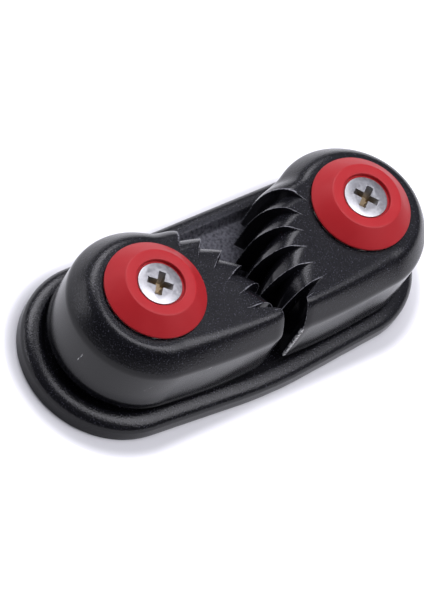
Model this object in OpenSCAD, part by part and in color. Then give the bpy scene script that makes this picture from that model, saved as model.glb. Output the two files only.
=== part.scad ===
// Cam cleat: two sprung toothed cams turn on ball bearings over a flat base.
// The underside of the base lies on z = 0. X runs through both pivots, the loaded rope comes in
// from +Y, and the tail of the rope leaves over the front edge at -Y. Millimetres.

/* [Base] */
// Distance between the two pivots, which is also the screw spacing
pivot_spacing = 38; // [37.5:0.1:39]
// Radius of the round ends of the base
base_end_r = 13.9; // [13.7:0.1:14.3]
// Distance by which the centres of the ends stand outside the pivots
end_shift = 1; // [0.8:0.1:1.2]
// Reach of the bulged front edge from the line of the pivots
base_belly = 15.3; // [15:0.1:15.8]
// Half the length over which the front edge bends
belly_span = 5; // [4:0.5:8]
// Height of the deck inside the rim, and of the outer wall
deck_h = 2.6; // [2.4:0.1:2.8]
// Height of the rounded rim round the deck
rim_h = 3.6; // [3.4:0.1:3.8]
// Width of the rim
rim_w = 3.2; // [3:0.1:3.4]

/* [Cams] */
// Radius of the round back of a cam
cam_back_r = 11.9; // [11.6:0.1:12]
// Height of a cam's underside
cam_floor = 5; // [4.9:0.1:5.2]
// Height of a cam's flat top
cam_top = 18.3; // [18.1:0.1:18.4]
// Radius of the arc that the tooth tips lie on
face_r = 18.4; // [18.3:0.1:18.5]
// Distance of that arc's centre from the pivot, towards the front
face_offset = 6; // [5.8:0.1:6.2]
// Direction of the outward normal of a cam's front wall, in degrees
front_dir = -94.8; // [-96:0.2:-94]

/* [Teeth] */
// Number of full teeth on a cam, not counting the nose
tooth_count = 6; // [5:1:6]
// Angle from one tooth to the next about the face arc's centre, in degrees
tooth_pitch = 12.4; // [12:0.1:12.6]
// Direction of the rearmost tooth, in degrees
rear_tooth = 54.8; // [53.6:0.2:54.8]
// Depth of the saw teeth
tooth_depth = 2.5; // [1.6:0.1:2.6]
// Length over which the tooth grooves run out on the top of a cam
groove_run = 6.3; // [5.6:0.1:6.3]

/* [Bearings] */
// Diameter of a bearing ball
ball_d = 2.4; // [2.3:0.05:2.45]
// Number of balls in each row
ball_count = 15; // [10:1:15]
// Radius of the circle of ball centres
ball_circle_r = 6.3; // [6.25:0.01:6.35]
// Clearance between the balls and what they run on
race_gap = 0.05; // [0.03:0.01:0.08]

/* [Caps] */
// Radius of a cap
cap_r = 7.75; // [7.7:0.05:7.9]
// Radius of the flat ring on top of a cap
cap_ring_r = 5.3; // [5:0.1:5.6]
// Height of the flat ring on top of a cap
cap_top = 21.25; // [21.2:0.05:21.5]

/* [Screws] */
// Thread diameter of the fixing screws
screw_d = 3.5; // [3.4:0.1:3.6]
// Diameter of the screw heads
head_d = 6.7; // [6.5:0.1:6.8]
// Length of thread that stands out under the base
screw_reach = 12; // [8:0.5:20]
// Directions of the cross recesses in the left and right screws, in degrees
recess_turn = [47, 36]; // [0:1:90]

/* [Springs] */
// Diameter of the spring wire
wire_d = 1; // [0.9:0.05:1.05]
// Number of turns in a spring
spring_turns = 4.25; // [3.25:1:4.25]

/* [Hidden] */
$fn = 64;
LEFT = -1;
RIGHT = 1;
pivot_x = pivot_spacing / 2;
end_x = pivot_x + end_shift;
// Clearances
fit_gap = 0.05;
loose_gap = 0.25;
cut = 0.5;
// Posts and races, from the axis outwards and from the base upwards
ball_r = ball_d / 2;
post_r = ball_circle_r - ball_r - race_gap;
pocket_r = ball_circle_r + ball_r + race_gap;
boss_r = pocket_r - loose_gap;
chamber_r = pocket_r - 0.65;
spigot_r = 4;
ferrule_r = 2.9;
ferrule_bore_r = screw_d / 2 + 0.2;
boss_top = cam_floor + race_gap;
lower_ball_z = boss_top + ball_r + race_gap;
cap_seat = cam_top - 0.2;
upper_ball_z = cap_seat - ball_r - race_gap;
// Height from a ball's centre to the wide end of its 45 degree race
race_rise = (ball_r + race_gap) * (sqrt(2) - 1);
washer_t = 0.5;
lower_washer_z = lower_ball_z + ball_r + 0.1;
upper_washer_z = upper_ball_z - ball_r - 0.3 - washer_t;
shoulder_z = upper_washer_z + washer_t;
spigot_top = cap_seat - 0.2;
// Caps
lip_floor = cam_top + 0.3;
lip_top = lip_floor + 0.35;
edge_soft = 0.2;
// Screws
head_sink = 0.35;
head_rim = 0.25;
head_top = cap_top - head_sink;
head_r = head_d / 2;
shank_r = screw_d / 2 - 0.2;
tip_r = 1.1;
tip_len = 0.7;
recess_w = 1;
recess_len = 3.7;
recess_deep = 1.3;
well_r = head_r + 0.35;
head_seat = head_top - head_rim - fit_gap;
// Springs: the lower leg turns in to the post and the upper leg turns out to the cam
coil_r = (post_r + chamber_r) / 2;
coil_low = lower_washer_z + washer_t + wire_d / 2 + 0.15;
coil_high = upper_washer_z - wire_d / 2 - 0.15;
leg_in_r = 3.9;
leg_out_r = 8.4;
leg_slot_w = wire_d + 0.5;
coil_steps = 20;
wire_sides = 8;
// The moulded body of a cam closes on a turned sleeve that holds the races
sleeve_r = 8.6;
sleeve_step = 0.15;
seam_r = 7.9;
seam_draw = 0.4;
seam_band = 0.6;
// Top edge of a cam: how far it reaches in and down, and how much its round sharpens towards the top
top_flat = 0.2;
edge_sharp = 1.4;
back_soft = [cam_back_r - seam_r - top_flat, 6, edge_sharp];
front_soft = [2.2, 5, edge_sharp];
nose_soft = [1.2, 5, edge_sharp];
tip_soft = [4, 8, 1];
groove_soft = [groove_run - tooth_depth, 4, 1];
floor_chamfer = 0.35;
steep_share = 0.12;
tooth_fade = 16;
front_line = cam_back_r + face_offset * sin(front_dir);
back_start = atan2(cam_back_r * sin(front_dir) + face_offset, cam_back_r * cos(front_dir));
round_steps = 6;
front_steps = 10;
back_steps = 30;
fade_steps = 4;
tooth_steps = [0, 0.35, 0.7, 1 - steep_share];

// General shapes

function ramp(x, low, high) = let (t = max(0, min(1, (x - low) / (high - low)))) t * t * (3 - 2 * t);
function mix(a, b, t) = a * (1 - t) + b * t;

// Triangles between ring j and ring k, both of n points
function band(n, j, k) = [for (i = [0:n - 1])
    let (a = j * n + i, b = j * n + (i + 1) % n, c = k * n + i, d = k * n + (i + 1) % n)
    each [[a, c, d], [a, d, b]]];

// Closed solid through rings of points, each ring counter-clockwise from above, lowest first
module loft(rings) {
    n = len(rings[0]);
    top = (len(rings) - 1) * n;
    polyhedron(
        points = [for (ring = rings) each ring],
        faces = concat(
            [[for (i = [0:n - 1]) i]],
            [for (j = [0:len(rings) - 2]) each band(n, j, j + 1)],
            [[for (i = [n - 1:-1:0]) top + i]]));
}

// The same with a hole through it: the last ring closes on the first
module ring_loft(rings) {
    n = len(rings[0]);
    m = len(rings);
    polyhedron(
        points = [for (ring = rings) each ring],
        faces = [for (j = [0:m - 1]) each band(n, j, (j + 1) % m)]);
}

// Round wire along a path, with flat ends
module wire(path, r) {
    last = len(path) - 1;
    loft([for (i = [0:last])
        let (
            along = path[min(last, i + 1)] - path[max(0, i - 1)],
            t = along / norm(along),
            side = cross([0, 0, 1], t) / norm(cross([0, 0, 1], t)),
            up = cross(t, side))
        [for (k = [0:wire_sides - 1])
            let (a = 360 * k / wire_sides)
            path[i] + r * (cos(a) * side + sin(a) * up)]]);
}

module tube(r_out, r_in, low, high) {
    translate([0, 0, low]) difference() {
        cylinder(r = r_out, h = high - low);
        translate([0, 0, -cut]) cylinder(r = r_in, h = high - low + 2 * cut);
    }
}

module at_pivot(hand) {
    translate([hand * pivot_x, 0, 0]) children();
}

// Base plate: a few circles bound its outline, and every ring of the loft is that outline drawn in

belly_r = 6;
belly_bend = (base_belly - base_end_r) / end_x / belly_span / 2;
base_circles = concat(
    [[-end_x, 0, base_end_r], [end_x, 0, base_end_r]],
    [for (x = [-belly_span:belly_span / 2:belly_span])
        [x, belly_r - base_belly + belly_bend * x ^ 2, belly_r]]);
base_points = 120;
wall_round = 0.5;
// Pairs of inset and height: upright wall, its rounded edge, a rim that swells out of the deck
base_profile = concat(
    [[0, 0]],
    [for (a = [0:30:60]) [wall_round * (1 - cos(a)), deck_h - wall_round * (1 - sin(a))]],
    [for (a = [0:30:360]) [wall_round + rim_w * a / 360, mix(deck_h, rim_h, (1 - cos(a)) / 2)]]);

function reach(c, a) = c[0] * cos(a) + c[1] * sin(a) + c[2];
function outer_circle(a) =
    let (far = max([for (c = base_circles) reach(c, a)]))
    [for (c = base_circles) if (reach(c, a) > far - 0.000001) c][0];
function base_ring(inset, z) = [for (i = [0:base_points - 1])
    let (a = (i + 0.5) * 360 / base_points, c = outer_circle(a), r = c[2] - inset)
    [c[0] + r * cos(a), c[1] + r * sin(a), z]];

module base() {
    color([0.10, 0.10, 0.11]) difference() {
        union() {
            loft([for (p = base_profile) base_ring(p[0], p[1])]);
            for (hand = [LEFT, RIGHT]) at_pivot(hand) {
                translate([0, 0, deck_h - cut]) cylinder(r = boss_r, h = boss_top - deck_h + cut);
                translate([0, 0, deck_h]) cylinder(r = post_r, h = shoulder_z - deck_h);
                translate([0, 0, deck_h]) cylinder(r = spigot_r, h = spigot_top - deck_h);
            }
        }
        for (hand = [LEFT, RIGHT]) at_pivot(hand) {
            translate([0, 0, -cut]) cylinder(r = ferrule_r + fit_gap, h = spigot_top + 2 * cut);
            // Window in the post for the lower leg of the spring
            translate([hand * (ferrule_r + post_r + cut) / 2, 0, coil_low])
                cube([post_r - ferrule_r + cut, leg_slot_w, leg_slot_w], center = true);
        }
    }
}

// Cam: drawn for the left pivot as rings about the centre of the face arc, and mirrored for the right.
// Angles grow from the front wall, over the nose and the teeth, to the round back.

tooth_dirs = [for (k = [tooth_count - 1:-1:0]) rear_tooth - k * tooth_pitch];
fade_end = rear_tooth + tooth_fade;

// Distance of a circle of radius r about the pivot
function round_reach(b, r) = face_offset * sin(b) + sqrt(r ^ 2 - (face_offset * cos(b)) ^ 2);
function front_reach(b, inset) = (front_line - inset) / cos(b - front_dir);
// Direction of the nose where the front wall and the face are both drawn in
function nose_dir(front_in, face_in) = front_dir + acos((front_line - front_in) / (face_r - face_in));
function crests(nose) = concat([nose], tooth_dirs);
// Directions of the points of one ring, and the depth of the saw teeth there, from 0 to 1
function tooth_points(nose) = let (c = crests(nose)) [for (k = [0:tooth_count - 1], f = tooth_steps)
    [mix(c[k], c[k + 1], f), f / (1 - steep_share) * min(1, (c[k + 1] - c[k]) / tooth_pitch)]];
function ring_points(nose) = concat(
    [for (i = [0:front_steps - 1]) [mix(back_start, nose, i / front_steps), 0]],
    tooth_points(nose),
    [for (i = [0:fade_steps - 1]) [mix(rear_tooth, fade_end, i / fade_steps), 0]],
    [for (i = [0:back_steps - 1]) [mix(fade_end, 360 + back_start, i / back_steps), 0]]);

// Top edge along the crests, and then at any direction
function crest_soft(b, nose) = mix(nose_soft, tip_soft, ramp(b, nose, tooth_dirs[0]));
function edge_soft_at(b, nose, depth) =
    b < nose ? mix(back_soft, front_soft, max(0, tan(b - front_dir) / tan(nose - front_dir))) :
    b <= rear_tooth ? mix(crest_soft(b, nose), groove_soft, depth) :
    mix(tip_soft, back_soft, ramp(b, rear_tooth, fade_end));
// How far a top edge is drawn in and down at a turn, from 0 on the upright wall to 90 on the flat top
function drawn_in(soft, turn) = soft[0] * (1 - cos(turn) ^ soft[2]);
function drawn_down(soft, turn) = soft[1] * (1 - sin(turn));
// Distance of the upright wall at a direction, drawn in by an inset
function wall_reach(b, nose, depth, inset) =
    b < nose ? front_reach(b, inset) :
    b <= rear_tooth ? face_r - depth * tooth_depth - inset :
    mix(face_r, round_reach(b, cam_back_r), ramp(b, rear_tooth, fade_end)) - inset;
function cam_ring(turn, floor_in, z) =
    let (nose = nose_dir(drawn_in(front_soft, turn) + floor_in, drawn_in(nose_soft, turn) + floor_in))
    [for (p = ring_points(nose))
        let (
            soft = edge_soft_at(p[0], nose, p[1]),
            r = wall_reach(p[0], nose, p[1], drawn_in(soft, turn) + floor_in))
        [r * cos(p[0]), r * sin(p[0]) - face_offset, z == undef ? cam_top - drawn_down(soft, turn) : z]];

// Ring of the seam between the moulded body and the sleeve, on a circle about the pivot
function seam_ring(r, z) = [for (p = ring_points(nose_dir(0, 0)))
    [round_reach(p[0], r) * cos(p[0]), round_reach(p[0], r) * sin(p[0]) - face_offset, z]];

module cam(hand) {
    at_pivot(hand) mirror([hand == RIGHT ? 1 : 0, 0, 0]) difference() {
        union() {
            ring_loft(concat(
                [seam_ring(seam_r, cam_floor)],
                [cam_ring(0, floor_chamfer, cam_floor), cam_ring(0, 0, cam_floor + floor_chamfer)],
                [for (i = [0:round_steps]) cam_ring(90 * i / round_steps, 0)],
                [seam_ring(seam_r, cam_top), seam_ring(seam_r + seam_draw, cam_top - seam_band)],
                [seam_ring(seam_r + seam_draw, cam_floor + seam_band)]));
            // Sleeve: spring chamber with a ball race at each end
            rotate_extrude() polygon([
                [sleeve_r, cam_floor + sleeve_step],
                [sleeve_r, cam_top - sleeve_step],
                [pocket_r, cam_top - sleeve_step],
                [pocket_r, upper_ball_z - race_rise],
                [chamber_r, upper_ball_z - race_rise - (pocket_r - chamber_r)],
                [chamber_r, lower_ball_z + race_rise + (pocket_r - chamber_r)],
                [pocket_r, lower_ball_z + race_rise],
                [pocket_r, cam_floor + sleeve_step]]);
        }
        // Pocket for the upper leg of the spring
        translate([0, (chamber_r - cut + leg_out_r + 0.4) / 2, coil_high])
            cube([leg_slot_w, leg_out_r + 0.4 - chamber_r + cut, leg_slot_w], center = true);
    }
}

module left_cam() {
    color([0.09, 0.09, 0.10]) cam(LEFT);
}

module right_cam() {
    color([0.09, 0.09, 0.10]) cam(RIGHT);
}

// Cap: covers the upper balls and carries the screw head

module cap(hand) {
    color([0.72, 0.10, 0.13]) at_pivot(hand) rotate_extrude() polygon([
        [spigot_r + fit_gap, shoulder_z + 0.1],
        [post_r, shoulder_z + 0.1],
        [post_r, cap_seat],
        [boss_r, cap_seat],
        [boss_r, lip_floor],
        [cap_r, lip_floor],
        [cap_r, lip_top],
        [cap_ring_r + edge_soft, cap_top - edge_soft],
        [cap_ring_r, cap_top],
        [well_r + edge_soft, cap_top],
        [well_r, cap_top - edge_soft],
        [well_r, head_seat],
        [head_r, head_seat],
        [ferrule_bore_r, head_seat - (head_r - ferrule_bore_r)],
        [ferrule_bore_r, spigot_top + 0.1],
        [spigot_r + fit_gap, spigot_top + 0.1]]);
}

module left_cap() {
    cap(LEFT);
}

module right_cap() {
    cap(RIGHT);
}

// Fixing screw: countersunk head with a cross recess, plain shank, thread under the base

module screw(hand, turn) {
    neck = head_top - head_rim - (head_r - shank_r);
    color([0.78, 0.79, 0.80]) at_pivot(hand) difference() {
        union() {
            rotate_extrude() polygon([
                [0, 0], [shank_r, 0], [shank_r, neck], [head_r, head_top - head_rim],
                [head_r, head_top - 0.1], [head_r - 0.15, head_top], [0, head_top]]);
            translate([0, 0, tip_len - screw_reach]) cylinder(d = screw_d, h = screw_reach - tip_len);
            translate([0, 0, -screw_reach]) cylinder(r1 = tip_r, r2 = screw_d / 2, h = tip_len);
        }
        rotate([0, 0, turn]) translate([0, 0, head_top - recess_deep]) for (arm = [0, 90])
            rotate([0, 0, arm]) translate([-recess_len / 2, -recess_w / 2, 0])
                cube([recess_len, recess_w, recess_deep + cut]);
    }
}

module left_screw() {
    screw(LEFT, recess_turn[0]);
}

module right_screw() {
    screw(RIGHT, recess_turn[1]);
}

// Steel ferrule that takes the clamping load of the screw

module ferrule(hand) {
    color([0.66, 0.67, 0.69]) at_pivot(hand) tube(ferrule_r, ferrule_bore_r, fit_gap, spigot_top);
}

module left_ferrule() {
    ferrule(LEFT);
}

module right_ferrule() {
    ferrule(RIGHT);
}

// Torsion spring: a leg in the post, the coil, and a leg in the cam

coil_points = coil_steps * spring_turns;
coil_path = [for (i = [0:coil_points])
    let (a = 360 * spring_turns * i / coil_points)
    [coil_r * cos(a), coil_r * sin(a), mix(coil_low, coil_high, i / coil_points)]];
spring_path = concat(
    [[leg_in_r, -wire_d / 4, coil_low], [coil_r - wire_d, -wire_d / 4, coil_low]],
    coil_path,
    [[wire_d / 4, coil_r + wire_d, coil_high], [wire_d / 4, leg_out_r, coil_high]]);

module spring(hand) {
    color([0.60, 0.61, 0.63]) at_pivot(hand) mirror([hand == LEFT ? 1 : 0, 0, 0])
        wire(spring_path, wire_d / 2);
}

module left_spring() {
    spring(LEFT);
}

module right_spring() {
    spring(RIGHT);
}

// Ball rows and the washers that keep the spring off the balls

module balls(hand, z) {
    color([0.90, 0.89, 0.85]) at_pivot(hand) for (i = [0:ball_count - 1])
        rotate([0, 0, 360 * i / ball_count]) translate([ball_circle_r, 0, z]) sphere(d = ball_d);
}

module washer(hand, z) {
    color([0.70, 0.71, 0.73]) at_pivot(hand) tube(chamber_r - 0.2, post_r + 0.1, z, z + washer_t);
}

module left_upper_balls() {
    balls(LEFT, upper_ball_z);
}

module right_upper_balls() {
    balls(RIGHT, upper_ball_z);
}

module left_lower_balls() {
    balls(LEFT, lower_ball_z);
}

module right_lower_balls() {
    balls(RIGHT, lower_ball_z);
}

module left_upper_washer() {
    washer(LEFT, upper_washer_z);
}

module right_upper_washer() {
    washer(RIGHT, upper_washer_z);
}

module left_lower_washer() {
    washer(LEFT, lower_washer_z);
}

module right_lower_washer() {
    washer(RIGHT, lower_washer_z);
}

base();
left_cam();
right_cam();
left_cap();
right_cap();
left_screw();
right_screw();
left_ferrule();
right_ferrule();
left_spring();
right_spring();
left_upper_balls();
right_upper_balls();
left_lower_balls();
right_lower_balls();
left_upper_washer();
right_upper_washer();
left_lower_washer();
right_lower_washer();
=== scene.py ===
import math

import bmesh
import bpy
import numpy as np
from mathutils import Matrix, Vector


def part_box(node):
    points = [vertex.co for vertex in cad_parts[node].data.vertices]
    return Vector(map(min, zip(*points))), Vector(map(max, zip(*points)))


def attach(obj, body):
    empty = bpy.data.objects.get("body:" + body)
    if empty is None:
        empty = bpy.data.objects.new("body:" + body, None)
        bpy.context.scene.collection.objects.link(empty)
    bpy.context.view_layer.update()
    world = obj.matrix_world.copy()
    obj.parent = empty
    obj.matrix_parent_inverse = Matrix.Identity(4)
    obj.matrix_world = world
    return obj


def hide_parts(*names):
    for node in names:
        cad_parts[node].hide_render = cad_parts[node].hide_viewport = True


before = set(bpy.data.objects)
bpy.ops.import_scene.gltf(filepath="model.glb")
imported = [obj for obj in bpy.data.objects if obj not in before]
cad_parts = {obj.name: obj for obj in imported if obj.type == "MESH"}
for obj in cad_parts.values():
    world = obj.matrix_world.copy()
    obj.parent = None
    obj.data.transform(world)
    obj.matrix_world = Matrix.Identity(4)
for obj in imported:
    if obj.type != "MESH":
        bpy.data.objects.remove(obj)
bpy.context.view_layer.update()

# A cam cleat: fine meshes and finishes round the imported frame.
# Sizes are in millimetres and become metres where a mesh is made.
MM = 0.001


def box_mm(node):
    low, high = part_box(node)
    return np.array(low) / MM, np.array(high) / MM


# Sizes that the frame gives
base_low, base_high = box_mm("base")
cam_low, cam_high = box_mm("left_cam")
cap_low, cap_high = box_mm("right_cap")
screw_low, screw_high = box_mm("right_screw")
ferrule_low, ferrule_high = box_mm("right_ferrule")
PIVOT_X = (screw_low[0] + screw_high[0]) / 2
HANDS = {"left": -1, "right": 1}

# Base
END_X = PIVOT_X + 1.0
BASE_END_R = base_high[0] - END_X
BASE_BELLY = -base_low[1]
BELLY_R = 6.0
BELLY_SPAN = 5.0
BELLY_STEPS = 9
RIM_OUTER_W = 2.3
RIM_INNER_W = 1.4
RIM_H = 3.6
DECK_H = 2.6
WALL_H = 1.9
FOOT_ROUND = 0.15
BASE_STEPS = 360
BOSS_R = 7.3
BOSS_TOP = cam_low[2] + 0.05
POST_R = 5.05
POST_TOP = cap_low[2] - 0.15
BORE_R = (ferrule_high[0] - ferrule_low[0]) / 2 + 0.05

# Cams, drawn for the left pivot about the centre of the arc of the tooth tips
CAM_BACK_R = -PIVOT_X - cam_low[0]
FACE_R = 18.4
FACE_OFFSET = 6.0
FRONT_DIR = -94.8
CAM_FLOOR = cam_low[2]
CAM_TOP = cam_high[2]
FLOOR_CHAMFER = 0.35
TOOTH_COUNT = 6
TOOTH_PITCH = 12.4
REAR_TOOTH = 54.8
TOOTH_DEPTH = 2.5
TOOTH_FADE = 16.0
STEEP_SHARE = 0.12
# The front wall curves in towards the nose: over how long a run, and by how much
NOSE_CURVES = (13.0, 0.8), (1.2, 0.2)
# The face beside the nose follows over this many degrees
NOSE_FADE = 9.0
# Top edge: how far it reaches in and down, and whether it is a dome (1) or a plain quarter round (0)
BACK_SOFT = np.array((CAM_BACK_R - 8.1, 4.5, 1.0))
FRONT_SOFT = np.array((2.6, 5.0, 1.0))
NOSE_SOFT = np.array((1.2, 5.0, 1.0))
TIP_SOFT = np.array((4.0, 8.0, 0.0))
GROOVE_SOFT = np.array((3.8, 4.0, 0.0))
# Profile of a dome, in shares: its crown, where it starts and ends, the shoulder below and the round above
DOME_CROWN = 0.35
DOME_FROM, DOME_TO = 0.13, 0.62
SHOULDER_DROP = 0.18
ROUND_CORNER, ROUND_END = 0.945, 1.3
CAM_BORE_R = 7.6
BORE_EDGE = 0.1
CHAMBER_R = 8.7
CHAMBER_LIP = 2.2
CHAMBER_SLOPE = 1.0

# Caps and screws
CAP_R = (cap_high[0] - cap_low[0]) / 2
CAP_TOP = cap_high[2]
CAP_RING_R = 5.3
CAP_SEAT = CAM_TOP - 0.2
CAP_SKIRT_R = POST_R - 1.0
CAP_BORE_R = BORE_R - 0.95
LIP_FLOOR = CAM_TOP + 0.3
LIP_TOP = LIP_FLOOR + 0.35
HEAD_R = (screw_high[0] - screw_low[0]) / 2
HEAD_TOP = screw_high[2]
HEAD_RIM = 0.25
WELL_R = HEAD_R + 0.35
HEAD_SEAT = HEAD_TOP - HEAD_RIM - 0.05
SHANK_R = 1.55
SHANK_END = 0.5
THREAD_START = 0.2
THREAD_R = 1.75
THREAD_ROOT_R = 1.3
THREAD_PITCH = 1.1
THREAD_STEP = 0.09
THREAD_HALF = 0.32
TIP_LEN = 0.7
TIP_R = 1.1
RECESS_TURN = {"left": 47, "right": 36}
RECESS_LEN = 3.9
RECESS_W = 1.05
RECESS_DEEP = 1.5
# Length and width of the recess at its floor, and how far its cutter stands out above, as shares
RECESS_FLOOR = 0.4, 0.62
RECESS_OVER = 0.1

# Fineness of the meshes, and the angles in degrees above which an edge stays sharp
FILLET_STEPS = 6
LATHE_STEPS = 128
POST_STEPS = 96
SCREW_STEPS = 72
FOOT_STEPS = 5
RIM_OUTER_STEPS = 25
RIM_INNER_STEPS = 21
CHAMFER_STEPS = 4
SHOULDER_STEPS = 8
DOME_STEPS = 8
ROUND_STEPS = 12
SHARP = 32
CAM_SHARP = 38
SCREW_SHARP = 30

# Black plastic: an upper face has a normal that rises past these, and its own roughness and gloss
BLACK_LEVEL = 0.005
UPPER_FROM, UPPER_TO = 0.3, 0.6
BASE_WALL_ROUGH, CAM_WALL_ROUGH, TOP_ROUGH = 0.2, 0.15, 0.24
WALL_GLOSS, TOP_GLOSS = 0.25, 0.38
GRAIN_MM, GRAIN_DEEP = 0.25, 0.04
SPECK_MM, SPECK_LEVEL, SPECK_SHARE = 0.22, 0.1, 0.4
WEAR_MM, WEAR_LEVEL = 0.5, 0.25
BROAD_MM = 5.0

# Red plastic and metal
DARK_RED, LIGHT_RED = (0.38, 0.013, 0.017, 1), (0.43, 0.018, 0.023, 1)
RED_GLOSS = 0.28
FINE_DEEP = 0.02
METAL_TINT = 1.0, 1.0, 1.02
RECESS_STAIN = 0.30, 0.23, 0.14, 1.0

# Marks of use: scratches on the left cam's wall and a chafed nose on the right cam, each with its width
# and how light it is, and a scuffed patch of deck
SCRATCHES = (
    ((-30.71, -2.11, 10.05), (-30.67, -2.33, 11.83), 0.1, 0.55),
    ((-24.55, -10.53, 10.69), (-23.49, -11.02, 12.47), 0.1, 0.12),
    ((-15.76, -12.21, 13.26), (-14.86, -12.29, 13.81), 0.1, 0.2),
    ((2.07, -12.38, 5.2), (2.07, -12.38, 13.0), 0.45, 0.75))
SCRATCH_CORE = 0.4
RAGGED_MM = 0.4
SCUFF_PATCH = (-12, 2), (14, 13)
SCUFF_MM, SCUFF_LEVEL, SCUFF_EDGE = 0.45, 0.12, 0.3

# The photo's camera: where it looks, from where, and how far the picture is rolled
LOOK_AT = (-4.838, -1.144, 8.0)
VIEW_DISTANCE = 725.65
VIEW_AZIMUTH = -63.576
VIEW_ELEVATION = 54.101
VIEW_ROLL = -35.435
LENS = 300.0
VIEW_REACH = 10.0

# Floor, in millimetres: it does not glow in a band round the base, which paints a shadow band there on top
# of the real shadow; past that band it starts to glow, and it glows less far out
FLOOR_SIZE = 2000
FLOOR_DROP = 0.02
FLOOR_COLOUR = 0.72, 0.72, 0.73, 1
GLOW_COLOUR = 0.97, 0.965, 1.04, 1
PAINTED_SHADOW_FADE_FROM, PAINTED_SHADOW_FADE_TO, GLOW_SHARE = 0.2, 2.2, 0.65
GLOW_NEAR, GLOW_FAR = (90, 1.4), (300, 0.5)

# Lamps: place, aim, turn in degrees, length, width and watts
LAMP_TINT = (0.985, 0.975, 1.045)
SOFTBOXES = {
    "overhead": ((216, -293, 600), (216, -293, 0), -62, 1060, 400, 5.4),
    "back": ((60, 520, 430), (0, 0, 0), 0, 500, 300, 2.4),
    "side": ((-400, 450, 80), (-19, 0, 15), 0, 420, 130, 0.42)}
ROOM_TINT = 0.93, 0.94, 1.12, 1
ROOM_BACK = 0.75, 0.66, 0.0


# Mesh helpers

def ramp(x, low, high):
    t = np.clip((x - low) / (high - low), 0, 1)
    return t * t * (3 - 2 * t)


def mix(a, b, t):
    return a * (1 - t) + b * t


def mesh_object(name, points, faces, sharp=SHARP):
    """A smooth-shaded object from points in millimetres."""
    mesh = bpy.data.meshes.new(name)
    mesh.from_pydata([tuple(p) for p in np.asarray(points) * MM], [], faces)
    work = bmesh.new()
    work.from_mesh(mesh)
    bmesh.ops.recalc_face_normals(work, faces=work.faces)
    work.to_mesh(mesh)
    work.free()
    made = bpy.data.objects.new(name, mesh)
    bpy.context.scene.collection.objects.link(made)
    shade(made, sharp)
    return made


def shade(made, sharp):
    """Smooth shading that keeps edges sharp past an angle."""
    made.data.shade_smooth()
    made.data.set_sharp_from_angle(angle=math.radians(sharp))


def bands(count, rows, closed=False):
    """Quads between rows of points; with closed, the last row meets the first."""
    pairs = [(j, (j + 1) % rows) for j in range(rows if closed else rows - 1)]
    return [(j * count + i, j * count + (i + 1) % count, k * count + (i + 1) % count, k * count + i)
            for j, k in pairs for i in range(count)]


def loft(name, rings, sharp=SHARP):
    """A closed solid through rings of points, with flat ends."""
    count, rows = len(rings[0]), len(rings)
    ends = [tuple(range(count)), tuple(range((rows - 1) * count, rows * count))]
    return mesh_object(name, np.concatenate(rings), bands(count, rows) + ends, sharp)


def rounded(outline):
    """Outline of (r, z, fillet) corners as (r, z) points, with an arc of that radius at each corner."""
    points = []
    for i, (r, z, fillet) in enumerate(outline):
        here = np.array((r, z))
        if fillet == 0:
            points.append(here)
            continue
        before = np.array(outline[i - 1][:2]) - here
        after = np.array(outline[(i + 1) % len(outline)][:2]) - here
        before /= np.linalg.norm(before)
        after /= np.linalg.norm(after)
        half = math.acos(float(np.clip(before @ after, -1, 1))) / 2
        centre = here + (before + after) / np.linalg.norm(before + after) * fillet / math.sin(half)
        start = here + before * fillet / math.tan(half) - centre
        end = here + after * fillet / math.tan(half) - centre
        low, high = math.atan2(start[1], start[0]), math.atan2(end[1], end[0])
        turn = (high - low + math.pi) % (2 * math.pi) - math.pi
        for step in np.linspace(0, 1, FILLET_STEPS):
            angle = low + turn * step
            points.append(centre + fillet * np.array((math.cos(angle), math.sin(angle))))
    return points


def circle(r, z, segments, x=0.0):
    turn = np.arange(segments) * 2 * np.pi / segments
    return np.stack([x + r * np.cos(turn), r * np.sin(turn), np.full(segments, z)], 1)


def lathe(name, outline, x):
    """A ring-shaped solid: the outline is turned about the pivot at x."""
    rings = [circle(r, z, LATHE_STEPS, x) for r, z in rounded(outline)]
    return mesh_object(name, np.concatenate(rings), bands(LATHE_STEPS, len(rings), closed=True))


def boolean(target, tool, operation):
    """Applies tool to target's mesh and removes tool."""
    cutter = target.modifiers.new("shape", "BOOLEAN")
    cutter.operation = operation
    cutter.solver = "EXACT"
    cutter.object = tool
    bpy.context.view_layer.update()
    graph = bpy.context.evaluated_depsgraph_get()
    result = bpy.data.meshes.new_from_object(target.evaluated_get(graph))
    target.modifiers.remove(cutter)
    target.data = result
    bpy.data.objects.remove(tool)


def finish_piece(made, body, node, finish):
    """Puts a piece on its body in place of its CAD node, with its finish."""
    made.data.materials.clear()
    made.data.materials.append(finish)
    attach(made, body)
    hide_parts(node)


# Material helpers

def new_material(name):
    made = bpy.data.materials.new(name)
    made.use_nodes = True
    return made, made.node_tree, made.node_tree.nodes["Principled BSDF"]


def put(tree, socket, value):
    if isinstance(value, bpy.types.NodeSocket):
        tree.links.new(value, socket)
    else:
        socket.default_value = value


def add(tree, kind, values=(), named=None, **settings):
    """A node with its settings, its first inputs in order, and further inputs by name."""
    made = tree.nodes.new("ShaderNode" + kind)
    for key, value in settings.items():
        setattr(made, key, value)
    for socket, value in zip(made.inputs, values):
        put(tree, socket, value)
    for key, value in (named or {}).items():
        put(tree, made.inputs[key], value)
    return made


def math_node(tree, operation, *values):
    return add(tree, "Math", values, operation=operation).outputs[0]


def span(tree, value, low, high, to_low=0.0, to_high=1.0):
    """Value taken smoothly from one span to another."""
    values = value, low, high, to_low, to_high
    return add(tree, "MapRange", values, interpolation_type="SMOOTHSTEP").outputs[0]


def colour_mix(tree, share, a, b):
    made = add(tree, "Mix", data_type="RGBA")
    put(tree, made.inputs["Factor"], share)
    put(tree, made.inputs["A"], a)
    put(tree, made.inputs["B"], b)
    return made.outputs["Result"]


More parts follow.
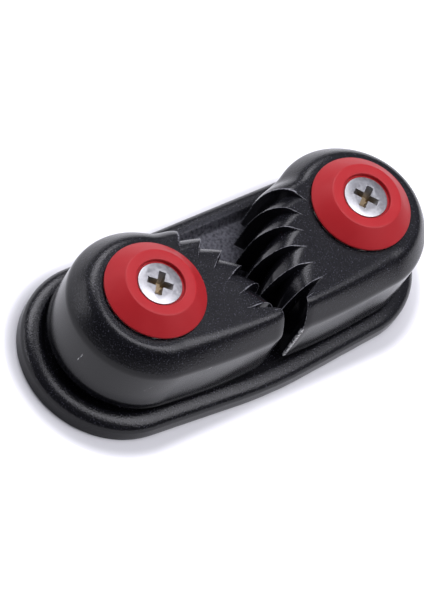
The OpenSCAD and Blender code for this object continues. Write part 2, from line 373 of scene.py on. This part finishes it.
def noise(tree, size_mm, detail=2.0):
    """Noise whose features have about that size."""
    where = add(tree, "TexCoord").outputs["Object"]
    values = {"Vector": where, "Scale": 1 / (size_mm * MM), "Detail": detail}
    return add(tree, "TexNoise", named=values).outputs[0]


def grey(level, blue=1.3):
    return level, level, level * blue, 1.0


def vector_math(tree, operation, *values):
    return add(tree, "VectorMath", values, operation=operation).outputs


def scratch(tree, start, end, width):
    """Mask of a thin broken line between two points."""
    where = add(tree, "TexCoord").outputs["Object"]
    run = (Vector(end) - Vector(start)) * MM
    off = vector_math(tree, "SUBTRACT", where, Vector(start) * MM)["Vector"]
    along = vector_math(tree, "DOT_PRODUCT", off, run / run.length_squared)["Value"]
    along = add(tree, "MapRange", (along,)).outputs[0]
    foot = add(tree, "VectorMath", (run,), {"Scale": along}, operation="SCALE").outputs["Vector"]
    gap = vector_math(tree, "DISTANCE", off, foot)["Value"]
    ragged = span(tree, noise(tree, RAGGED_MM, 3.0), 0.4, 0.56, 0.1, 1.0)
    line = span(tree, gap, width * SCRATCH_CORE * MM, width * MM, 1.0, 0.0)
    return math_node(tree, "MULTIPLY", ragged, line)


def scuff(tree, low, high):
    """Mask of a mottled patch of deck between two corners."""
    where = add(tree, "SeparateXYZ", (add(tree, "TexCoord").outputs["Object"],)).outputs
    mask = span(tree, noise(tree, SCUFF_MM, 4.0), 0.1, 0.72)
    for axis, a, b in zip("XY", low, high):
        soft = (b - a) * SCUFF_EDGE
        rise = span(tree, where[axis], a * MM, (a + soft) * MM)
        fall = span(tree, where[axis], (b - soft) * MM, b * MM, 1.0, 0.0)
        mask = math_node(tree, "MULTIPLY", mask, math_node(tree, "MULTIPLY", rise, fall))
    return mask


def roughen(tree, shader, height, strength, deep_mm):
    """Fine relief on a finish."""
    bump = add(tree, "Bump", named={"Strength": strength, "Distance": deep_mm * MM, "Height": height})
    put(tree, shader.inputs["Normal"], bump.outputs[0])


# Finishes

def moulded_black(name, wall_rough, scratches=(), patch=None):
    """Black moulded plastic: smooth upright walls, grained upper faces, worn light edges."""
    made, tree, shader = new_material(name)
    facing = add(tree, "SeparateXYZ", (add(tree, "NewGeometry").outputs["Normal"],)).outputs["Z"]
    upper = span(tree, facing, UPPER_FROM, UPPER_TO)
    grain = noise(tree, GRAIN_MM, 3.0)
    broad = noise(tree, BROAD_MM)
    speck = math_node(tree, "MULTIPLY", span(tree, noise(tree, SPECK_MM, 1.0), 0.6, 0.74), upper)
    speck = math_node(tree, "MULTIPLY", speck, SPECK_SHARE)
    worn = add(tree, "Attribute", attribute_name="wear").outputs["Fac"]
    worn = math_node(tree, "MULTIPLY", worn, span(tree, noise(tree, WEAR_MM), 0.35, 0.6, 0.15, 1.0))
    colour = colour_mix(tree, broad, grey(BLACK_LEVEL * 0.7), grey(BLACK_LEVEL * 1.3))
    colour = colour_mix(tree, speck, colour, grey(SPECK_LEVEL))
    colour = colour_mix(tree, worn, colour, grey(WEAR_LEVEL, 1.1))
    for start, end, width, light in scratches:
        colour = colour_mix(tree, scratch(tree, start, end, width), colour, grey(light, 1.0))
    if patch:
        colour = colour_mix(tree, scuff(tree, *patch), colour, grey(SCUFF_LEVEL, 1.15))
    put(tree, shader.inputs["Base Color"], colour)
    rough = span(tree, upper, 0.0, 1.0, wall_rough, TOP_ROUGH)
    rough = math_node(tree, "ADD", rough, math_node(tree, "MULTIPLY_ADD", broad, 0.12, -0.06))
    put(tree, shader.inputs["Roughness"], rough)
    put(tree, shader.inputs["Specular IOR Level"], span(tree, upper, 0.0, 1.0, WALL_GLOSS, TOP_GLOSS))
    depth = math_node(tree, "MULTIPLY_ADD", upper, 0.85, 0.1)
    roughen(tree, shader, grain, depth, GRAIN_DEEP)
    return made


def red_plastic():
    made, tree, shader = new_material("cap_red")
    broad = noise(tree, 3.0)
    put(tree, shader.inputs["Base Color"], colour_mix(tree, broad, DARK_RED, LIGHT_RED))
    put(tree, shader.inputs["Roughness"], span(tree, broad, 0.2, 0.8, 0.4, 0.5))
    shader.inputs["Specular IOR Level"].default_value = RED_GLOSS
    roughen(tree, shader, noise(tree, 0.12, 3.0), 0.25, FINE_DEEP)
    return made


def metal(name, level, rough, grain_mm=0.35):
    """Bare metal with a mottled gloss, and a brown stain where its "stain" attribute says so."""
    made, tree, shader = new_material(name)
    mottle = noise(tree, grain_mm, 3.0)
    stained = add(tree, "Attribute", attribute_name="stain").outputs["Fac"]
    light, dark = [(*(level * part * c for c in METAL_TINT), 1.0) for part in (1.0, 0.86)]
    colour = colour_mix(tree, span(tree, mottle, 0.3, 0.7), dark, light)
    put(tree, shader.inputs["Base Color"], colour_mix(tree, stained, colour, RECESS_STAIN))
    shader.inputs["Metallic"].default_value = 1.0
    put(tree, shader.inputs["Roughness"], span(tree, mottle, 0.2, 0.8, rough - 0.08, rough + 0.12))
    roughen(tree, shader, mottle, 0.3, FINE_DEEP)
    return made


def acetal():
    made, tree, shader = new_material("ball_acetal")
    broad = noise(tree, 1.2)
    colour = colour_mix(tree, broad, (0.70, 0.69, 0.64, 1), (0.80, 0.79, 0.75, 1))
    put(tree, shader.inputs["Base Color"], colour)
    put(tree, shader.inputs["Roughness"], span(tree, broad, 0.2, 0.8, 0.28, 0.4))
    return made


BASE_BLACK = moulded_black("base_black", BASE_WALL_ROUGH, patch=SCUFF_PATCH)
CAM_BLACK = moulded_black("cam_black", CAM_WALL_ROUGH, SCRATCHES)
CAP_RED = red_plastic()
SCREW_STEEL = metal("screw_steel", 0.46, 0.36)
BALL_ACETAL = acetal()
HIDDEN_METAL = {
    "ferrule": metal("ferrule_steel", 0.62, 0.38),
    "spring": metal("spring_steel", 0.55, 0.30, grain_mm=0.6),
    "washer": metal("washer_steel", 0.60, 0.33, grain_mm=0.5)}


# Base: a few circles bound its outline, and each ring is that outline drawn in

BELLY_BEND = (BASE_BELLY - BASE_END_R) / END_X / BELLY_SPAN / 2
BASE_CIRCLES = np.array(
    [(-END_X, 0, BASE_END_R), (END_X, 0, BASE_END_R)]
    + [(x, BELLY_R - BASE_BELLY + BELLY_BEND * x * x, BELLY_R)
       for x in np.linspace(-BELLY_SPAN, BELLY_SPAN, BELLY_STEPS)])


def base_ring(inset, z):
    turn = (np.arange(BASE_STEPS) + 0.5) * 2 * np.pi / BASE_STEPS
    out = np.stack([np.cos(turn), np.sin(turn)], 1)
    far = out @ BASE_CIRCLES[:, :2].T + BASE_CIRCLES[:, 2]
    own = BASE_CIRCLES[far.argmax(1)]
    flat = own[:, :2] + (own[:, 2:] - inset) * out
    return np.column_stack([flat, np.full(BASE_STEPS, z)])


def base_shell():
    foot = [(FOOT_ROUND * (1 - math.sin(a)), FOOT_ROUND * (1 - math.cos(a)))
            for a in np.radians(np.linspace(0, 90, FOOT_STEPS))]
    wall = [(0, WALL_H / 2)]
    outer = [(RIM_OUTER_W * (1 - math.cos(a)), mix(WALL_H, RIM_H, math.sin(a)))
             for a in np.radians(np.linspace(0, 90, RIM_OUTER_STEPS))]
    inner = [(RIM_OUTER_W + RIM_INNER_W * t, mix(DECK_H, RIM_H, (1 + math.cos(math.pi * t)) / 2))
             for t in np.linspace(0, 1, RIM_INNER_STEPS)[1:]]
    made = loft("base_shell", [base_ring(*p) for p in foot + wall + outer + inner])
    for hand in HANDS.values():
        x = hand * PIVOT_X
        post = [(BOSS_R, DECK_H - 1), (BOSS_R, BOSS_TOP), (POST_R, BOSS_TOP), (POST_R, POST_TOP)]
        boolean(made, loft("post", [circle(r, z, POST_STEPS, x) for r, z in post]), "UNION")
        hole = [(BORE_R, -1), (BORE_R, POST_TOP + 1)]
        boolean(made, loft("hole", [circle(r, z, POST_STEPS, x) for r, z in hole]), "DIFFERENCE")
    shade(made, SHARP)
    finish_piece(made, "base", "base", BASE_BLACK)


# Cam: rings in polar coordinates about the centre of the arc of the tooth tips

FRONT_LINE = CAM_BACK_R + FACE_OFFSET * math.sin(math.radians(FRONT_DIR))
BACK_START = math.degrees(math.atan2(
    CAM_BACK_R * math.sin(math.radians(FRONT_DIR)) + FACE_OFFSET,
    CAM_BACK_R * math.cos(math.radians(FRONT_DIR))))
FADE_END = REAR_TOOTH + TOOTH_FADE
TOOTH_DIRS = REAR_TOOTH - TOOTH_PITCH * np.arange(TOOTH_COUNT - 1, -1, -1)
VALLEY = 1 - STEEP_SHARE
TOOTH_STEPS = np.array(
    [0, 0.03, 0.1, 0.2, 0.32, 0.44, 0.56, 0.68, 0.79, VALLEY, 0.91, 0.94, 0.97, 0.99])
FRONT_STEPS = 40
FRONT_CROWDING = 1.6
FADE_STEPS = 14
BACK_STEPS = 90
WALL_STEPS = 6
TOP_STEP = 0.12


def bend(start, corner, end, steps):
    """Points of a curve that leaves its start towards the corner and comes from there to its end."""
    t = np.linspace(0, 1, steps)[:, None]
    return (1 - t) ** 2 * start + 2 * t * (1 - t) * corner + t ** 2 * end


def dome_profile():
    """Top edge as shares drawn in and risen: a shoulder on the wall, a low dome, a round upper edge."""
    def dome(x):
        return np.stack([x, (1 + DOME_CROWN) * x - DOME_CROWN * x * x], -1)

    low, high = dome(np.array(DOME_FROM)), dome(np.array(DOME_TO))
    points = np.concatenate([
        bend(np.array((0, -SHOULDER_DROP)), np.zeros(2), low, SHOULDER_STEPS),
        dome(np.linspace(DOME_FROM, DOME_TO, DOME_STEPS))[1:-1],
        bend(high, np.array((ROUND_CORNER, 1)), np.array((ROUND_END, 1)), ROUND_STEPS)])
    return (points - points[0]) / (points[-1] - points[0])


DOME = dome_profile()
TURNS = np.linspace(0, math.pi / 2, len(DOME))
QUARTER = np.stack([1 - np.cos(TURNS), np.sin(TURNS)], 1)


def nose_dir(front_in, face_in):
    """Direction of the nose where the front wall and the face are both drawn in."""
    return FRONT_DIR + math.degrees(math.acos((FRONT_LINE - front_in) / (FACE_R - face_in)))


def round_reach(b, r):
    """Distance of a circle of radius r about the pivot, in a direction."""
    turn = np.radians(b)
    return FACE_OFFSET * np.sin(turn) + np.sqrt(r ** 2 - (FACE_OFFSET * np.cos(turn)) ** 2)


def ring_directions(nose):
    """Directions of one ring, the depth of the teeth there, and how far along its tooth each point lies."""
    crests = np.concatenate([[nose], TOOTH_DIRS])
    teeth = np.concatenate([mix(crests[k], crests[k + 1], TOOTH_STEPS) for k in range(TOOTH_COUNT)])
    saw = np.where(TOOTH_STEPS <= VALLEY, TOOTH_STEPS / VALLEY, (1 - TOOTH_STEPS) / STEEP_SHARE)
    along = 1 - (1 - np.arange(FRONT_STEPS) / FRONT_STEPS) ** FRONT_CROWDING
    low, high = np.tan(np.radians((BACK_START - FRONT_DIR, nose - FRONT_DIR)))
    front = FRONT_DIR + np.degrees(np.arctan(mix(low, high, along)))
    fade = np.linspace(REAR_TOOTH, FADE_END, FADE_STEPS, endpoint=False)
    back = np.linspace(FADE_END, 360 + BACK_START, BACK_STEPS, endpoint=False)
    smooth = len(fade) + len(back)
    depth = np.concatenate([np.zeros(FRONT_STEPS), np.tile(saw, TOOTH_COUNT), np.zeros(smooth)])
    along_tooth = np.full(len(depth), 0.5)
    rear = FRONT_STEPS + len(teeth)
    along_tooth[FRONT_STEPS:rear] = np.tile(TOOTH_STEPS, TOOTH_COUNT)
    along_tooth[rear] = 0
    return np.concatenate([front, teeth, fade, back]), depth, along_tooth


def edge_soft(b, nose, depth):
    """Top edge at each direction."""
    along = np.tan(np.radians(b - FRONT_DIR)) / math.tan(math.radians(nose - FRONT_DIR))
    front = mix(BACK_SOFT, FRONT_SOFT, np.clip(along, 0, 1)[:, None])
    crest = mix(NOSE_SOFT, TIP_SOFT, ramp(b, nose, TOOTH_DIRS[0])[:, None])
    face = mix(crest, GROOVE_SOFT, depth[:, None])
    back = mix(TIP_SOFT, BACK_SOFT, ramp(b, REAR_TOOTH, FADE_END)[:, None])
    return np.where((b < nose)[:, None], front, np.where((b <= REAR_TOOTH)[:, None], face, back))


def wall_reach(b, nose, depth, inset):
    """Distance of the upright wall at each direction, drawn in by an inset."""
    front = (FRONT_LINE - inset) / np.cos(np.radians(b - FRONT_DIR))
    face = FACE_R - depth * TOOTH_DEPTH - inset
    back = mix(FACE_R, round_reach(b, CAM_BACK_R), ramp(b, REAR_TOOTH, FADE_END)) - inset
    return np.where(b < nose, front, np.where(b <= REAR_TOOTH, face, back))


def nose_shift(b, nose, inset):
    """How far the front wall, and the face beside it, curve in at the nose."""
    steep = math.tan(math.radians(nose - FRONT_DIR)) - np.tan(np.radians(b - FRONT_DIR))
    to_nose = (FRONT_LINE - inset) * steep
    front = sum(amount * np.clip(1 - to_nose / run, 0, 1) ** 2 for run, amount in NOSE_CURVES)
    face = sum(amount for _, amount in NOSE_CURVES) * (1 - ramp(b, nose, nose + NOSE_FADE))
    return np.where(b < nose, front, face)


def polar_ring(b, reach, z):
    turn = np.radians(b)
    return np.column_stack([
        reach * np.cos(turn), reach * np.sin(turn) - FACE_OFFSET, np.broadcast_to(z, b.shape)])


def edge_share(soft, step):
    """How far in and up a top edge has come at a step of its profile, in millimetres."""
    share = mix(QUARTER[step], DOME[step], soft[..., 2:])
    return soft[..., 0] * share[..., 0], soft[..., 1] * (1 - share[..., 1])


def cam_ring(step, floor_in=0.0):
    """One ring of the top edge and its wear."""
    front_in, face_in = [edge_share(soft, step)[0] for soft in (FRONT_SOFT, NOSE_SOFT)]
    nose = nose_dir(front_in + floor_in, face_in + floor_in)
    b, depth, along_tooth = ring_directions(nose)
    inset, drop = edge_share(edge_soft(b, nose, depth), step)
    inset = inset + floor_in
    ring = polar_ring(b, wall_reach(b, nose, depth, inset), CAM_TOP - drop)
    turn = math.radians(FRONT_DIR)
    ring[:, :2] -= nose_shift(b, nose, inset)[:, None] * (math.cos(turn), math.sin(turn))
    wear = (along_tooth == 0) | ((along_tooth > VALLEY) & (step == len(DOME) - 1))
    return ring, wear.astype(float)


def cam_rings():
    """Rings from the bore's lower edge, round the outside, to the bore's upper edge and down the chamber."""
    b, _, _ = ring_directions(nose_dir(0, 0))
    plain = np.zeros(len(b))

    def bore(r, z):
        return polar_ring(b, round_reach(b, r), z), plain

    def at_height(ring, z):
        return np.column_stack([ring[:, :2], np.full(len(ring), z)])

    low_wall, crest_wear = cam_ring(0)
    rings = [bore(CAM_BORE_R + FLOOR_CHAMFER, CAM_FLOOR)]
    for turn in np.radians(np.linspace(90, 0, CHAMFER_STEPS)):
        inset = FLOOR_CHAMFER * (1 - math.cos(turn))
        z = CAM_FLOOR + FLOOR_CHAMFER * (1 - math.sin(turn))
        rings.append((at_height(cam_ring(0, inset)[0], z), crest_wear))
    foot = rings[-1][0]
    rings += [(mix(foot, low_wall, k / WALL_STEPS), crest_wear) for k in range(1, WALL_STEPS)]
    rings += [cam_ring(step) for step in range(len(DOME))]
    top = rings[-1][0]
    edge = bore(CAM_BORE_R + BORE_EDGE, CAM_TOP)[0]
    rings += [(mix(top, edge, TOP_STEP), plain), (edge, plain)]
    rings += [bore(r, z) for r, z in (
        (CAM_BORE_R, CAM_TOP - BORE_EDGE), (CAM_BORE_R, CAM_TOP - CHAMBER_LIP),
        (CHAMBER_R, CAM_TOP - CHAMBER_LIP - CHAMBER_SLOPE),
        (CHAMBER_R, CAM_FLOOR + CHAMBER_LIP + CHAMBER_SLOPE), (CAM_BORE_R, CAM_FLOOR + CHAMBER_LIP))]
    return rings


def cam_body(side, hand):
    rings = cam_rings()
    points = np.concatenate([ring for ring, _ in rings]) * (-hand, 1, 1) + (hand * PIVOT_X, 0, 0)
    faces = bands(len(rings[0][0]), len(rings), closed=True)
    made = mesh_object(f"{side}_cam_body", points, faces, CAM_SHARP)
    wear = made.data.attributes.new("wear", "FLOAT", "POINT")
    wear.data.foreach_set("value", np.concatenate([w for _, w in rings]).astype(np.float32))
    finish_piece(made, f"{side}_cam", f"{side}_cam", CAM_BLACK)


# Caps and screws

def cap_body(side, hand):
    made = lathe(f"{side}_cap_body", [
        (CAP_SKIRT_R, CAP_SEAT - 0.1, 0), (CAP_SKIRT_R, cap_low[2], 0.1), (POST_R, cap_low[2], 0.1),
        (POST_R, CAP_SEAT, 0), (BOSS_R, CAP_SEAT, 0.1), (BOSS_R, LIP_FLOOR, 0), (CAP_R, LIP_FLOOR, 0.1),
        (CAP_R, LIP_TOP, 0.16), (CAP_RING_R, CAP_TOP, 0.45), (WELL_R, CAP_TOP, 0.2),
        (WELL_R, HEAD_SEAT, 0), (HEAD_R, HEAD_SEAT, 0),
        (CAP_BORE_R, HEAD_SEAT - (HEAD_R - CAP_BORE_R), 0), (CAP_BORE_R, CAP_SEAT - 0.1, 0)],
        hand * PIVOT_X)
    finish_piece(made, "base", f"{side}_cap", CAP_RED)


def thread_ring(z, x):
    """One ring of the thread; below the full thread it narrows to the tip."""
    turn = np.arange(SCREW_STEPS) / SCREW_STEPS
    phase = (z / THREAD_PITCH - turn) % 1
    height = np.clip(1 - abs(phase - 0.5) / THREAD_HALF, 0, 1)
    r = THREAD_ROOT_R + (THREAD_R - THREAD_ROOT_R) * height
    r = np.minimum(r, mix(TIP_R, THREAD_R, np.clip((z - screw_low[2]) / TIP_LEN, 0, 1)))
    return circle(r, z, SCREW_STEPS, x)


def recess_arm(turn, x):
    """Tapered wedge that cuts one bar of the cross recess."""
    top = np.array((RECESS_LEN, RECESS_W, HEAD_TOP))
    floor_size = np.array((RECESS_LEN * RECESS_FLOOR[0], RECESS_W * RECESS_FLOOR[1], HEAD_TOP - RECESS_DEEP))
    over = top + (top - floor_size) * RECESS_OVER
    spin = Matrix.Rotation(math.radians(turn), 3, "Z")
    rings = []
    for length, width, z in (floor_size, top, over):
        corners = [(a * length / 2, b * width / 2, z) for a, b in ((-1, -1), (1, -1), (1, 1), (-1, 1))]
        rings.append(np.array([spin @ Vector(c) for c in corners]) + (x, 0, 0))
    return loft("recess", rings)


def screw_body(side, hand):
    x = hand * PIVOT_X
    neck = HEAD_TOP - HEAD_RIM - (HEAD_R - SHANK_R)
    head = [(HEAD_R - 0.14, HEAD_TOP), (HEAD_R - 0.04, HEAD_TOP - 0.04), (HEAD_R, HEAD_TOP - 0.14),
            (HEAD_R, HEAD_TOP - HEAD_RIM), (SHANK_R, neck), (SHANK_R, SHANK_END),
            (THREAD_ROOT_R, THREAD_START)]
    rings = [circle(r, z, SCREW_STEPS, x) for r, z in head]
    rings += [thread_ring(z, x) for z in np.arange(0, screw_low[2], -THREAD_STEP)]
    rings.append(circle(TIP_R, screw_low[2], SCREW_STEPS, x))
    made = loft(f"{side}_screw_body", rings, SCREW_SHARP)
    for arm in (0, 90):
        boolean(made, recess_arm(RECESS_TURN[side] + arm, x), "DIFFERENCE")
    shade(made, SCREW_SHARP)
    stain_recess(made, x, neck)
    finish_piece(made, "base", f"{side}_screw", SCREW_STEEL)


def stain_recess(made, x, neck):
    """Marks the recess as stained, more so towards its floor."""
    at = np.empty(len(made.data.vertices) * 3, np.float32)
    made.data.vertices.foreach_get("co", at)
    at = at.reshape(-1, 3) / MM
    inside = (np.hypot(at[:, 0] - x, at[:, 1]) < RECESS_LEN / 2) & (at[:, 2] > neck)
    stain = np.where(inside, np.clip((HEAD_TOP - at[:, 2]) / RECESS_DEEP, 0, 1), 0)
    marks = made.data.attributes.new("stain", "FLOAT", "POINT")
    marks.data.foreach_set("value", stain.astype(np.float32))


def hidden_parts(side):
    """Finishes for the CAD nodes that stay as they are."""
    finishes = {f"{side}_{kind}": HIDDEN_METAL[kind] for kind in ("ferrule", "spring")}
    for row in ("upper", "lower"):
        finishes[f"{side}_{row}_balls"] = BALL_ACETAL
        finishes[f"{side}_{row}_washer"] = HIDDEN_METAL["washer"]
    for node, finish in finishes.items():
        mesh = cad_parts[node].data
        mesh.materials.clear()
        mesh.materials.append(finish)


base_shell()
for side, hand in HANDS.items():
    cam_body(side, hand)
    cap_body(side, hand)
    screw_body(side, hand)
    hidden_parts(side)


# Stage, light and camera

def floor():
    """Pale floor that keeps the shadow. In a band round the base it does not glow, which paints a darker
    shadow band there on top of the real shadow. Away from the base it glows to white, direct or reflected.
    """
    bpy.ops.mesh.primitive_plane_add(size=FLOOR_SIZE * MM, location=(0, 0, -FLOOR_DROP * MM))
    made = bpy.context.object
    made.name = "floor"
    finish = bpy.data.materials.new("floor_white")
    finish.use_nodes = True
    tree = finish.node_tree
    tree.nodes.clear()
    path = add(tree, "LightPath").outputs
    seen = math_node(tree, "MAXIMUM", path["Is Camera Ray"], path["Is Glossy Ray"])
    seen = math_node(tree, "MAXIMUM", seen, path["Is Transmission Ray"])
    where = add(tree, "TexCoord").outputs["Object"]
    x, y, _ = add(tree, "SeparateXYZ", (where,)).outputs
    past_end = math_node(tree, "SUBTRACT", math_node(tree, "ABSOLUTE", x), END_X * MM)
    past_end = math_node(tree, "MAXIMUM", past_end, 0.0)
    y = math_node(tree, "ADD", y, (BASE_BELLY - BASE_END_R) / 2 * MM)
    off_base = add(tree, "CombineXYZ", (past_end, y)).outputs[0]
    off_base = vector_math(tree, "LENGTH", off_base)["Value"]
    edge = (BASE_BELLY + BASE_END_R) / 2
    # No glow close to the base: the plain grey floor there paints a shadow band round the base's outline, on
    # top of the real shadow
    clear = span(tree, off_base, (edge + PAINTED_SHADOW_FADE_FROM) * MM, (edge + PAINTED_SHADOW_FADE_TO) * MM, 0.0, GLOW_SHARE)
    far = vector_math(tree, "LENGTH", where)["Value"]
    lit = add(tree, "BsdfDiffuse", (FLOOR_COLOUR,)).outputs[0]
    (near_by, bright), (far_off, dim) = GLOW_NEAR, GLOW_FAR
    strength = span(tree, far, near_by * MM, far_off * MM, bright, dim)
    glow = add(tree, "Emission", (GLOW_COLOUR, strength)).outputs[0]
    blend = add(tree, "MixShader", (math_node(tree, "MULTIPLY", seen, clear), lit, glow)).outputs[0]
    add(tree, "OutputMaterial", (blend,))
    made.data.materials.append(finish)


def softbox(name, place, aim, turn, length, width, watts):
    """Rectangular lamp that faces a point, spun about its own axis."""
    lamp = bpy.data.lights.new(name, "AREA")
    lamp.energy = watts
    lamp.color = LAMP_TINT
    lamp.shape = "RECTANGLE"
    lamp.size = length * MM
    lamp.size_y = width * MM
    made = bpy.data.objects.new(name, lamp)
    bpy.context.scene.collection.objects.link(made)
    made.location = Vector(place) * MM
    facing = (Vector(aim) - Vector(place)).to_track_quat("-Z", "Y").to_matrix()
    made.rotation_euler = (facing @ Matrix.Rotation(math.radians(turn), 3, "Z")).to_euler()


def world_light():
    """Soft dim room, darker low down and on the camera's side."""
    world = bpy.data.worlds.new("studio")
    bpy.context.scene.world = world
    world.use_nodes = True
    tree = world.node_tree
    where = add(tree, "TexCoord").outputs["Generated"]
    up = add(tree, "SeparateXYZ", (where,)).outputs["Z"]
    back = vector_math(tree, "DOT_PRODUCT", where, ROOM_BACK)["Value"]
    by_height = span(tree, up, 0.0, 0.7, 0.3, 1.0)
    by_side = span(tree, back, -0.7, 0.7, 0.08, 0.38)
    room = tree.nodes["Background"].inputs
    room["Color"].default_value = ROOM_TINT
    put(tree, room["Strength"], math_node(tree, "MULTIPLY", by_height, by_side))


def camera():
    lens = bpy.data.cameras.new("photo_camera")
    lens.lens = LENS
    lens.clip_end = VIEW_REACH
    made = bpy.data.objects.new("photo_camera", lens)
    bpy.context.scene.collection.objects.link(made)
    azimuth, elevation = math.radians(VIEW_AZIMUTH), math.radians(VIEW_ELEVATION)
    back = Vector((math.sin(azimuth) * math.cos(elevation),
                   -math.cos(azimuth) * math.cos(elevation), math.sin(elevation)))
    aim = (-back).to_track_quat("-Z", "Y").to_matrix()
    made.rotation_euler = (aim @ Matrix.Rotation(math.radians(-VIEW_ROLL), 3, "Z")).to_euler()
    made.location = (Vector(LOOK_AT) + back * VIEW_DISTANCE) * MM
    bpy.context.scene.camera = made


floor()
for name, settings in SOFTBOXES.items():
    softbox(name, *settings)
world_light()
camera()
bpy.context.scene.view_settings.view_transform = "Standard"
